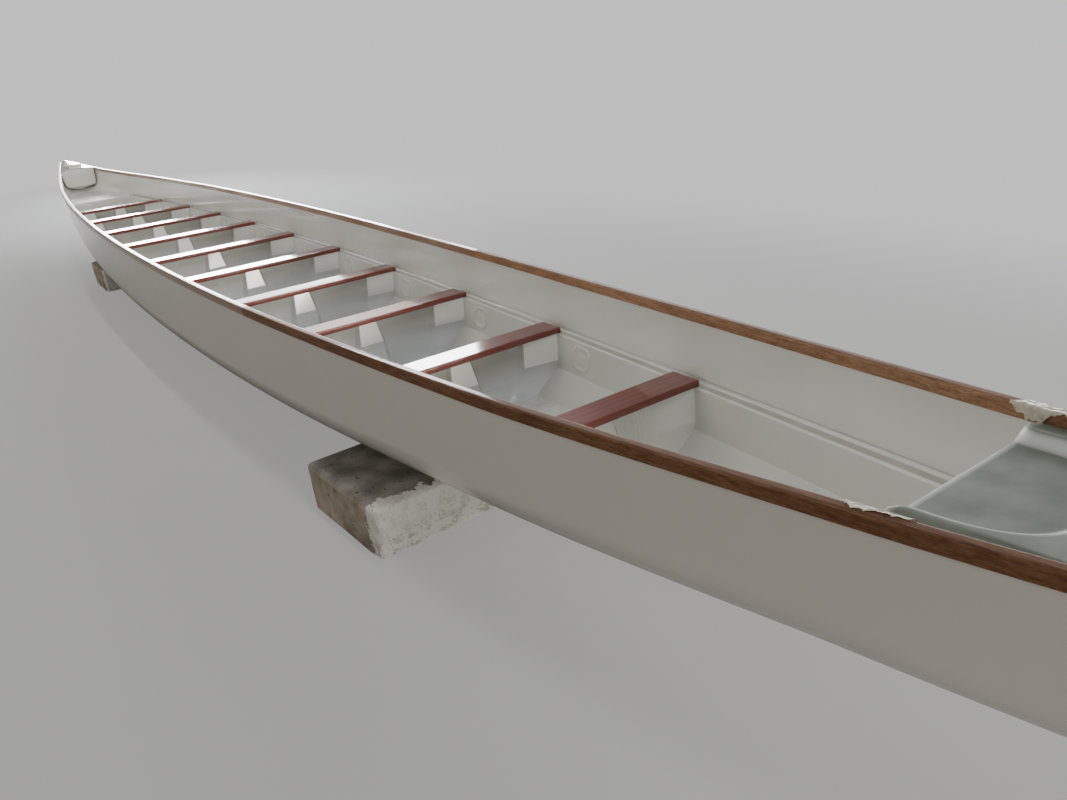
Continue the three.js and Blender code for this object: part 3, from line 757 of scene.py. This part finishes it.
# %% Bay marks
MARK_LONG, MARK_HIGH, MARK_LIFT, MARK_AHEAD, MARK_DROP = 112, 84, 4.2, 215, 55
MARK_SIDE = 21      # points along each side
SUNK, CUT_CORNER = 2.0, 0.62
RIM_RISE, RIM_WIDTH, MIDDLE_SINK, BASE = 0.10, 0.22, 0.72, 0.5


def mark_lift(u, v):
    """Height of the mark's face over the panel: 0 at its edge, a rim, and a low middle."""
    edge = 1 - max(abs(u), abs(v), (abs(u) + abs(v)) * CUT_CORNER)
    sunk = MIDDLE_SINK * smooth((edge - RIM_WIDTH) / RIM_RISE)
    return MARK_LIFT * smooth(edge / RIM_RISE) * (1 - sunk) - BASE


def mark(x_mid, side):
    """The points of a mark's face, and of a second face that hides in the panel."""
    z_mid = seat_under(x_mid) - MARK_DROP
    places = [2 * k / (MARK_SIDE - 1) - 1 for k in range(MARK_SIDE)]
    return [(x, side * (panel_y(x, z) - (mark_lift(u, v) if shown else -SUNK)), z)
            for shown in (True, False) for v in places for u in places
            for x, z in [(x_mid + u * MARK_LONG / 2, z_mid + v * MARK_HIGH / 2)]]


for side_name, side in SIDES.items():
    points, faces = [], []
    for i in range(1, SEAT_COUNT):
        faces += slab(MARK_SIDE, MARK_SIDE, len(points))
        points += mark(seat_x(i) + MARK_AHEAD, side)
    made = piece(f"bay_marks_{side_name}", points, faces, GELCOAT_SIDE_SHADED, "gelcoat")
print("bay marks:", 2 * (SEAT_COUNT - 1), "in two pieces")

# %% [markdown]
# The bow deck is a thin moulded sheet let in between the rails. Its aft part is pressed down into
# a dish: an oval fuller than an ellipse, with a flat floor, a crease and a rounded crest. It is
# open towards the paddlers, where its sides turn outwards and the edge is rolled over. Beside the
# dish the sheet lies lower than the crest, and ahead of it both rise to the rails and the deck is
# crowned. A grid finer than the dish's rounds carries it, with a second face 6 mm below.

# %% Bow deck
BOW_DECK_X, DECK_END, DISH_LONG, DISH_HALF, DISH_DEEP = 4380, 50, 240, 186, 21
FLOOR_LONG, FLOOR_HALF, FLOOR_FLARE = 207, 153, 0.4
FULLNESS, CORNER_ROUND = 3.0, 30
DECK_THICK, DECK_CROWN, DECK_DROP, CROWN_RAMP = 6, 18, 2, 500
CREST_DROP, EDGE_DROP, EDGE_SHARE, WIDEST_SHARE, RISE_LONG = 15, 25, 0.765, 0.9, 150
SLANT_SHARE = 0.4       # how much of the dish's wall is a plain slant
LIP_ROLL = ((1.8, 0.9), (3.0, 3.0), (1.8, 5.1))     # out from the lip and down from its top
RAIL_PLAY = 0.6
DISH_STEP, RISE_STEP, DECK_STEP, POINTS_ACROSS = 5, 15, 45, 110


def oval(x, y, long, half):
    """How far out a place is in a fuller than elliptic oval: 1 on its edge."""
    return (abs(x / long) ** FULLNESS + abs(y / half) ** FULLNESS) ** (1 / FULLNESS)


def lip_flare(x):
    """How far the dish's side turns outwards at the lip."""
    open_out = max(CORNER_ROUND - (x - BOW_DECK_X), 0)
    return CORNER_ROUND - math.sqrt(max(CORNER_ROUND**2 - open_out**2, 0))


def dish(x, y):
    """Depth of the dish: a flat floor, a crease, a wall and a crest."""
    ahead_of_lip = x - BOW_DECK_X
    rim = oval(ahead_of_lip, y, DISH_LONG, DISH_HALF + lip_flare(x))
    floor = oval(ahead_of_lip, y, FLOOR_LONG, FLOOR_HALF + FLOOR_FLARE * lip_flare(x))
    if floor <= 1:
        return DISH_DEEP
    share = min((floor - 1) / (floor - 1 + max(1 - rim, 0) * floor / rim), 1)
    return DISH_DEEP * (1 - SLANT_SHARE * share - (1 - SLANT_SHARE) * smooth(share))


def bow_deck_z(x, y):
    """Under the rail's top: the dish, its crest, the crown ahead of it, and the low edges."""
    ahead_of_dish = x - BOW_DECK_X - DISH_LONG
    risen = smooth(ahead_of_dish / RISE_LONG)
    ramp = min(max(ahead_of_dish / CROWN_RAMP, 0), 1)
    half = rail_inner(x)
    crest = -CREST_DROP + (CREST_DROP - DECK_DROP) * risen
    crest += ramp * DECK_CROWN * (1 - (y / half) ** 2) - dish(x, y)
    edge = -EDGE_DROP + (EDGE_DROP - DECK_DROP) * risen
    beyond = max(DISH_HALF + lip_flare(x) - EDGE_SHARE * half, 0)
    shoulder = min(EDGE_SHARE * half + beyond * (1 - risen), WIDEST_SHARE * half)
    fall = smooth((abs(y) - shoulder) / (half - shoulder))
    return rail_top(x) + crest * (1 - fall) + edge * fall


def deck_sheet(xs, count, height, lip_at):
    """A closed sheet between the rails; its edge at lip_at is rolled over."""
    top = []
    for x in xs:
        half = rail_inner(x) - RAIL_PLAY
        ys = [half * (2 * k / count - 1) for k in range(count + 1)]
        top.append([(x, y, height(x, y)) for y in ys])
    out = -1 if lip_at == xs[0] else 1
    if out < 0:
        top.reverse()
    under = [[(x, y, z - DECK_THICK) for x, y, z in row] for row in top[::-1]]
    roll = [[(x + out * far, y, z - down) for x, y, z in top[-1]] for far, down in LIP_ROLL]
    loop = top + roll + under
    width, faces = count + 1, []
    for r in range(len(loop)):
        a, b = r * width, ((r + 1) % len(loop)) * width
        faces += [(a + k, a + k + 1, b + k + 1, b + k) for k in range(count)]
    for k in (0, count):
        line = [r * width + k for r in range(len(loop))]
        faces += [(line[i], line[i + 1], line[-2 - i], line[-1 - i]) for i in range(len(top) - 1)]
        faces.append(tuple(line[len(top) - 1:len(top) + len(roll) + 1]))
    return [p for row in loop for p in row], faces


dish_xs = spread(BOW_DECK_X + 3, BOW_DECK_X + DISH_LONG + 12, DISH_STEP)
risen_x = BOW_DECK_X + DISH_LONG + RISE_LONG
deck_xs = dish_xs + spread(dish_xs[-1], risen_x, RISE_STEP)[1:]
deck_xs += spread(risen_x, HALF_LENGTH - DECK_END, DECK_STEP)[1:]
sheet = deck_sheet(deck_xs, POINTS_ACROSS, bow_deck_z, deck_xs[0])
bow_deck = piece("bow_deck_moulding", *sheet, DUSTY_SHADED_DECK, "gelcoat", ["bow_deck"])
print("bow deck:", triangles(bow_deck), "triangles")

# %% [markdown]
# The stern deck is the same kind of sheet without a dish. Its front turns down into an apron, a
# separate board here, with rounded lower corners. Below it the steersperson's platform reaches
# forward to the side mouldings, where a rounded edge turns it down to the bottom. Aft it ends
# where the rising bottom leaves it no breadth.

# %% Stern deck and platform
STERN_DECK_X, APRON_DEPTH, PANEL_THICK, APRON_ROUND = -5370, 170, 10, 34
APRON_DROP, APRON_PLAY = 4, 2
APRON_EDGE = ((0, 2.0), (-0.8, 0.6), (-2.2, 0.0), (-PANEL_THICK, 0.0))      # place, drawn in by
FRONT_ROUND, UNDER_ROUND = 14, 5
STERN_BULKHEAD_X = STERN_DECK_X - 100
TOP_STEPS, FRONT_STEPS, LEAST_BREADTH = 24, 10, 6
platform_top = seat_under(PLATFORM_X)


def stern_deck_z(x, y):
    return rail_top(x) - DECK_DROP + DECK_CROWN * (1 - (y / rail_inner(x)) ** 2)


def apron():
    """The board under the stern deck's front edge: an outline (y, z), rounded at its foot."""
    top = rail_top(STERN_DECK_X) - DECK_DROP - DECK_THICK - 1
    foot = rail_top(STERN_DECK_X) - APRON_DROP - APRON_DEPTH
    room = rail_inner(STERN_DECK_X), skin(STERN_DECK_X, foot)
    half_top, half_foot = (half - APRON_PLAY for half in room)
    lower = rounded([(half_top, top), (half_foot, foot), (-half_foot, foot), (-half_top, top)],
                    [0, APRON_ROUND, APRON_ROUND, 0], 8)
    crown = [(y, top + DECK_CROWN * (1 - (y / rail_inner(STERN_DECK_X)) ** 2) - 1)
             for y in np.linspace(-half_top, half_top, 14)[1:-1]]
    middle = (top + foot) / 2
    return tube([[(STERN_DECK_X + x, y - math.copysign(min(draw, abs(y)), y),
                   z - math.copysign(draw, z - middle)) for y, z in lower + crown]
                 for x, draw in APRON_EDGE])


stern_xs = spread(-HALF_LENGTH + DECK_END, STERN_DECK_X - 3, DECK_STEP)
points, faces = deck_sheet(stern_xs, 36, stern_deck_z, stern_xs[-1])
apron_points, apron_faces = apron()
faces += [tuple(k + len(points) for k in face) for face in apron_faces]
stern_deck = piece("stern_deck_moulding", points + apron_points, faces, GELCOAT_IN, "gelcoat",
                   ["stern_deck"])


def runs_out(z):
    """Where a level board at height z meets the rising bottom under the stern."""
    x = PLATFORM_X
    while x > STERN_BULKHEAD_X and skin(x, z) > LEAST_BREADTH:
        x -= 4
    return x


def stepped(a, b, count):
    """Places on the way from a to b, with b and without a."""
    return [tuple(np.add(a, np.subtract(b, a) * k / count)) for k in range(1, count + 1)]


def platform():
    """Top board and front board in one bent sheet, trimmed to the hull's inner face."""
    low, under = column("keel", PLATFORM_X) + WALL, platform_top - PANEL_THICK
    outer = rounded([(runs_out(platform_top), platform_top), (PLATFORM_X, platform_top),
                     (PLATFORM_X, low)], [0, FRONT_ROUND, 0], 6)
    inner = rounded([(runs_out(under), under), (PLATFORM_X - PANEL_THICK, under),
                     (PLATFORM_X - PANEL_THICK, low)], [0, UNDER_ROUND, 0], 6)

    def fill(path):
        return (path[:1] + stepped(path[0], path[1], TOP_STEPS) + path[2:-1]
                + stepped(path[-2], path[-1], FRONT_STEPS))

    loop = fill(outer) + fill(inner)[::-1]
    points = [(x, way * max(skin(x, z) - RAIL_PLAY, 1.0), z) for way in (-1, 1) for x, z in loop]
    n = len(loop)
    faces = [(k, (k + 1) % n, n + (k + 1) % n, n + k) for k in range(n)]
    faces += [(base + k, base + k + 1, base + n - 2 - k, base + n - 1 - k)
              for base in (0, n) for k in range(n // 2 - 1)]
    return points, faces


platform_piece = piece("stern_platform_board", *platform(), GELCOAT_IN, "gelcoat",
                       ["stern_platform"])
print("stern deck:", triangles(stern_deck), "triangles; platform:", triangles(platform_piece))

# %% [markdown]
# The two deck pads carry the ornamental head and tail on race days. They are moulded plinths with
# softened edges, drawn in at their ends. The bulkheads are flat panels whose CAD shape is right,
# so they only take the gelcoat.

# %% Pads and bulkheads
PADS = {"head_pad": (5600, 300, 100), "tail_pad": (-5600, 300, 130)}
PAD_RISE, PAD_ROUND, PAD_FOOT_ROUND, PAD_SINK = 22, 5.0, 0.5, 3


def pad(name, x_mid, length, width, deck_z):
    top = rail_top(x_mid) + DECK_CROWN + PAD_RISE
    rings = []
    for u in spread(-length / 2, length / 2, 12, [s * (length / 2 - d) for s in (-1, 1)
                                                   for d in (1, 2.5, 5)]):
        gap = length / 2 - abs(u)
        draw = PAD_ROUND - math.sqrt(max(PAD_ROUND**2 - (PAD_ROUND - min(gap, PAD_ROUND))**2, 0))
        x = x_mid + u
        half = width / 2 - draw
        foot = min(deck_z(x, half), deck_z(x, 0)) - PAD_SINK
        outline = box_outline(-half, half, foot, top - draw, PAD_ROUND, PAD_FOOT_ROUND)
        rings.append([(x, y, z) for y, z in outline])
    return piece(name + "_plinth", *tube(rings), GELCOAT_OUT, "gelcoat", [name])


pad("head_pad", *PADS["head_pad"], bow_deck_z)
pad("tail_pad", *PADS["tail_pad"], stern_deck_z)
for name in ("bow_bulkhead", "stern_bulkhead"):
    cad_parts[name].data.materials.clear()
    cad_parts[name].data.materials.append(GELCOAT_IN)
print("pads and bulkheads done")

# %% [markdown]
# A foam block starts as a box with rounded corners on a fine grid. Seeded noise pushes its skin
# in by a few millimetres, more where the foam has broken at the fore end. The aft end leans out
# towards its top, and the hull's own bottom presses a bed into the block. The noise only pushes
# inwards, so the block keeps its size.

# %% Foam blocks
BLOCK_SIZE = Vector((467, 1000, 160))
BLOCKS = {"block_fore": (2750, -40, 2.5, 3), "block_aft": (-1955, 20, 0, 11)}
BLOCK_ROUND, CELL, AFT_LEAN, UNCUT_BELOW = 17, 9, 24, 20
COARSE_MM, FINE_MM = 130, 30
BREAK_FROM, BREAK_OVER = 0.36, 0.12         # in lengths of the block, ahead of its middle
SKIN_WEAR, COARSE_WEAR, FINE_CRUMBLE, COARSE_CRUMBLE = 0.5, 1.5, 9, 6


def bottom_z(x, y):
    """Height of the hull's outer skin over the floor, and far up beside the hull."""
    points = half_section(x)[::-1]
    for (y0, z0), (y1, z1) in zip(points, points[1:]):
        if y0 <= abs(y) <= y1:
            return z0 + (z1 - z0) * (abs(y) - y0) / max(y1 - y0, 1e-9)
    return 1e9


def block(name, x_mid, y_mid, turn_deg, seed):
    size, work = BLOCK_SIZE, bmesh.new()
    bmesh.ops.create_cube(work, size=1.0)
    bmesh.ops.scale(work, vec=size, verts=work.verts)
    for axis in range(3):
        cuts = int(size[axis] // CELL)
        for k in range(1, cuts):
            at, normal = Vector((0, 0, 0)), Vector((0, 0, 0))
            at[axis], normal[axis] = -size[axis] / 2 + k * size[axis] / cuts, 1
            bmesh.ops.bisect_plane(work, geom=work.verts[:] + work.edges[:] + work.faces[:],
                                   plane_co=at, plane_no=normal)
    core = size / 2 - Vector((BLOCK_ROUND,) * 3)
    shift = Vector((seed * 17.0, seed * 5.0, 0))
    turning = Matrix.Rotation(math.radians(turn_deg), 3, "Z")
    for v in work.verts:
        inside = Vector([min(max(c, -k), k) for c, k in zip(v.co, core)])
        if v.co.z < 0:
            inside.z = v.co.z
        arm = v.co - inside
        if arm.length > 1e-6:
            v.co = inside + arm.normalized() * min(arm.length, BLOCK_ROUND)
        broken = smooth((v.co.x - size.x * BREAK_FROM) / (size.x * BREAK_OVER))
        coarse = noise.noise(v.co / COARSE_MM + shift) * 0.5 + 0.5
        fine = noise.turbulence(v.co / FINE_MM + shift, 3, False) * 0.5 + 0.5
        inwards = -(v.co - inside * 0.8).normalized() if v.co.length > 1 else Vector((0, 0, 0))
        inwards.z = min(inwards.z, 0) if v.co.z > -size.z * 0.3 else 0.0
        crumbled = (FINE_CRUMBLE * fine + COARSE_CRUMBLE * coarse) * broken
        v.co += inwards * (SKIN_WEAR + COARSE_WEAR * coarse + crumbled)
        v.co.x -= AFT_LEAN * smooth(-v.co.x / size.x - 0.1) * (v.co.z / size.z + 0.5)
        v.co.z = max(v.co.z, -size.z / 2)
        v.co = turning @ v.co + Vector((x_mid, y_mid, size.z / 2))
        if v.co.z > UNCUT_BELOW:
            v.co.z = min(v.co.z, bottom_z(v.co.x, v.co.y) - 0.5)
    points = [tuple(v.co) for v in work.verts]
    faces = [tuple(v.index for v in f.verts) for f in work.faces]
    work.free()
    return piece(name + "_foam", points, faces, FOAM[name], "foam", [name])


for name, row in BLOCKS.items():
    made = block(name, *row)
    print(made.name, triangles(made), "triangles")

# %% [markdown]
# Masking film was cut away where the bow deck was laid in, and rags of it still stick to both
# rails there with dried resin. They are thin ragged strips draped over the rail's edges, made
# from a small grid with seeded noise for the torn outline and the crumpled height.

# %% Film remains
FILM_ROWS, FILM_ACROSS, FILM_THICK, OVER_EDGE = 90, 20, 0.8, 1.6
TORN_MM = ((16, 0), (5, 4), (13, 8))        # the noises' sizes and layers
FLAP_LONG, FLAP_EASE, TORN_FORE, TORN_AFT = 90, 30, 0.12, 0.09


def film_finish():
    made, add, place = start("dried resin on film")
    cloud = add("TexNoise", [place, 1 / 9, 5.0])
    colour = add("Mix", [cloud, "#B4AA90", "#E2DCCB"], data_type="RGBA")
    bump = add("Bump", {"Height": cloud, "Strength": 0.7, "Distance": 0.002})
    return end(made, add("BsdfPrincipled", {"Base Color": colour, "Roughness": 0.35, "Normal": bump,
                                            "Transmission Weight": 0.12, "IOR": 1.5}))


FILM = film_finish()


def film(name, side, x0, x1, widths, hang, seed):
    """A crumpled strip over the rail: widths at its ends, and a flap hung inside near x0."""
    rows = []
    for i in range(FILM_ROWS + 1):
        share = i / FILM_ROWS
        x = x0 + (x1 - x0) * share
        coarse, fine, rag = (noise.noise(Vector((x / size_mm, seed, layer)))
                             for size_mm, layer in TORN_MM)
        tear = 9 * coarse + 5 * fine
        flap = hang * (0.6 + 0.9 * rag)
        flap *= smooth((x - x0) / FLAP_EASE) * smooth((x0 + FLAP_LONG - x) / FLAP_EASE)
        low = -2 - tear * 0.5 - flap
        wide = widths[0] + (widths[1] - widths[0]) * smooth((x - x0 - 20) / 60)
        high = (wide + tear) * smooth(share / TORN_AFT) * smooth((1 - share) / TORN_FORE)
        row = []
        for k in range(FILM_ACROSS + 1):
            y = low + (high - low) * k / FILM_ACROSS
            crumple = noise.noise(Vector((x / 11, y / 7, seed))) + 0.6
            z = rail_top(x) + 1.2 - max(-y, y - RAIL_WIDTH, 0) * OVER_EDGE + 1.6 * crumple
            out = min(max(y, -2.0 - 2.5 * max(crumple, 0)), min(max(y, 0), RAIL_WIDTH) + 2.5)
            row.append((x + 2 * crumple, side * (rail_inner(x) + out), z))
        rows.append(row)
    points = [(x, y, z - down) for down in (0, FILM_THICK) for row in rows for x, y, z in row]
    return piece(name, points, slab(FILM_ROWS + 1, FILM_ACROSS + 1), FILM, "gelcoat")


film("film_port", 1, 4322, 4660, (21, 17), 24, 2.0)
film("film_starboard", -1, 4335, 4446, (15, 7), 3, 7.0)
print("film remains: 2 pieces")

# %% [markdown]
# The studio is a pale floor under large soft lamps. A wide bright one far behind the stern and
# two above it give the benches and rails their white glare. A long lamp to port lights the
# inside, a strip overhead draws the bright lines along the mouldings, and weaker lamps by the bow
# and on the near side leave the hull's outside in even half shade. Away from the boat the floor
# fades into the background's own tone. Only the camera sees that tone, so it lights nothing, and
# no horizon shows from any side.

# %% Floor and lights
STUDIO, STUDIO_STRENGTH = "#D4D4D4", 1.25
FLOOR_OVAL, FLOOR_REACH = (7.2, 2.6), 400
FLOOR_CLEAR, FLOOR_FADED = 0.85, 1.75       # the fade's ends, in half axes of the oval
LEAST_GLOW = 0.33


def studio_glow(add, shader_below, strength):
    """The studio's own pale tone, which only the camera sees, laid over a shader."""
    path = add("LightPath").outputs["Is Camera Ray"]
    glow = add("Emission", [STUDIO, STUDIO_STRENGTH])
    seen = add("Math", [path, strength], operation="MULTIPLY")
    return add("MixShader", [seen, shader_below, glow])


def floor():
    made, add, place = start("pale floor")
    cloud = add("TexNoise", [place, 1 / 700, 3.0])
    colour = add("Mix", [cloud, "#9B9B98", "#A1A19E"], data_type="RGBA")
    matt = add("BsdfPrincipled", {"Base Color": colour, "Roughness": 0.9,
                                  "Specular IOR Level": 0.2})
    to_axes = (0.001 / FLOOR_OVAL[0], 0.001 / FLOOR_OVAL[1], 0)
    squeezed = add("VectorMath", [place, to_axes], operation="MULTIPLY")
    away = add("VectorMath", [squeezed], operation="LENGTH")
    faded = add("MapRange", [away, FLOOR_CLEAR, FLOOR_FADED, LEAST_GLOW, 1.0],
                interpolation_type="SMOOTHSTEP")
    mesh = bpy.data.meshes.new("floor")
    corners = [(x * FLOOR_REACH, y * FLOOR_REACH, 0)
               for x, y in ((-1, -1), (1, -1), (1, 1), (-1, 1))]
    mesh.from_pydata(corners, [], [(0, 1, 2, 3)])
    mesh.materials.append(end(made, studio_glow(add, matt, faded)))
    obj = placed("floor", mesh)


def lamp(name, at, towards, size, watts, colour, spread=180):
    data = bpy.data.lights.new(name, "AREA")
    data.shape, data.size, data.size_y = "RECTANGLE", size[0], size[1]
    data.energy, data.color = watts, linear(colour)[:3]
    data.spread = math.radians(spread)
    obj = placed(name, data)
    obj.location = at
    obj.rotation_euler = (Vector(towards) - Vector(at)).to_track_quat("-Z", "Y").to_euler()
    obj.visible_camera = False


floor()
lamp("far door", (-10.9, 3.24, 1.92), (1.5, -0.2, 0.4), (5.3, 2.24), 750, "#F4F8FF", 120)
lamp("high window", (-8.6, 4.8, 4.75), (2.65, -0.1, 0.42), (2.7, 1.0), 125, "#F8FAFF", 120)
lamp("soft window", (-10.9, 4.1, 3.3), (2.5, 0.0, 0.4), (6.2, 4.4), 76, "#FFDEC4", 120)
lamp("port side", (-3.0, 9.0, 2.6), (-0.5, 0.0, 0.4), (15.0, 2.6), 1000, "#F7FAFF", 150)
lamp("overhead strip", (-3.0, 0.1, 4.6), (-3.0, 0.1, 0.0), (22.0, 0.1), 200, "#FFFFFF")
lamp("side", (-2.4, -7.0, 6.0), (-0.8, 0.3, 0.3), (8.0, 3.0), 200, "#FFF6EA")
lamp("bow, port", (10.5, 3.2, 2.4), (1.5, -0.1, 0.35), (2.2, 1.4), 46, "#FFFBF4", 60)
lamp("bow", (11.5, -0.5, 1.3), (2.9, -0.4, 0.1), (2.0, 1.2), 24, "#FFFBF4", 60)

world = bpy.data.worlds.new("studio")
world.use_nodes = True
sky = world.node_tree
dim = sky.nodes["Background"]
dim.inputs["Color"].default_value, dim.inputs["Strength"].default_value = linear("#DFE2E4"), 0.17
plain = studio_glow(partial(node, sky), dim, 1.0)
sky.links.new(plain.outputs[0], sky.nodes["World Output"].inputs["Surface"])
bpy.context.scene.world = world
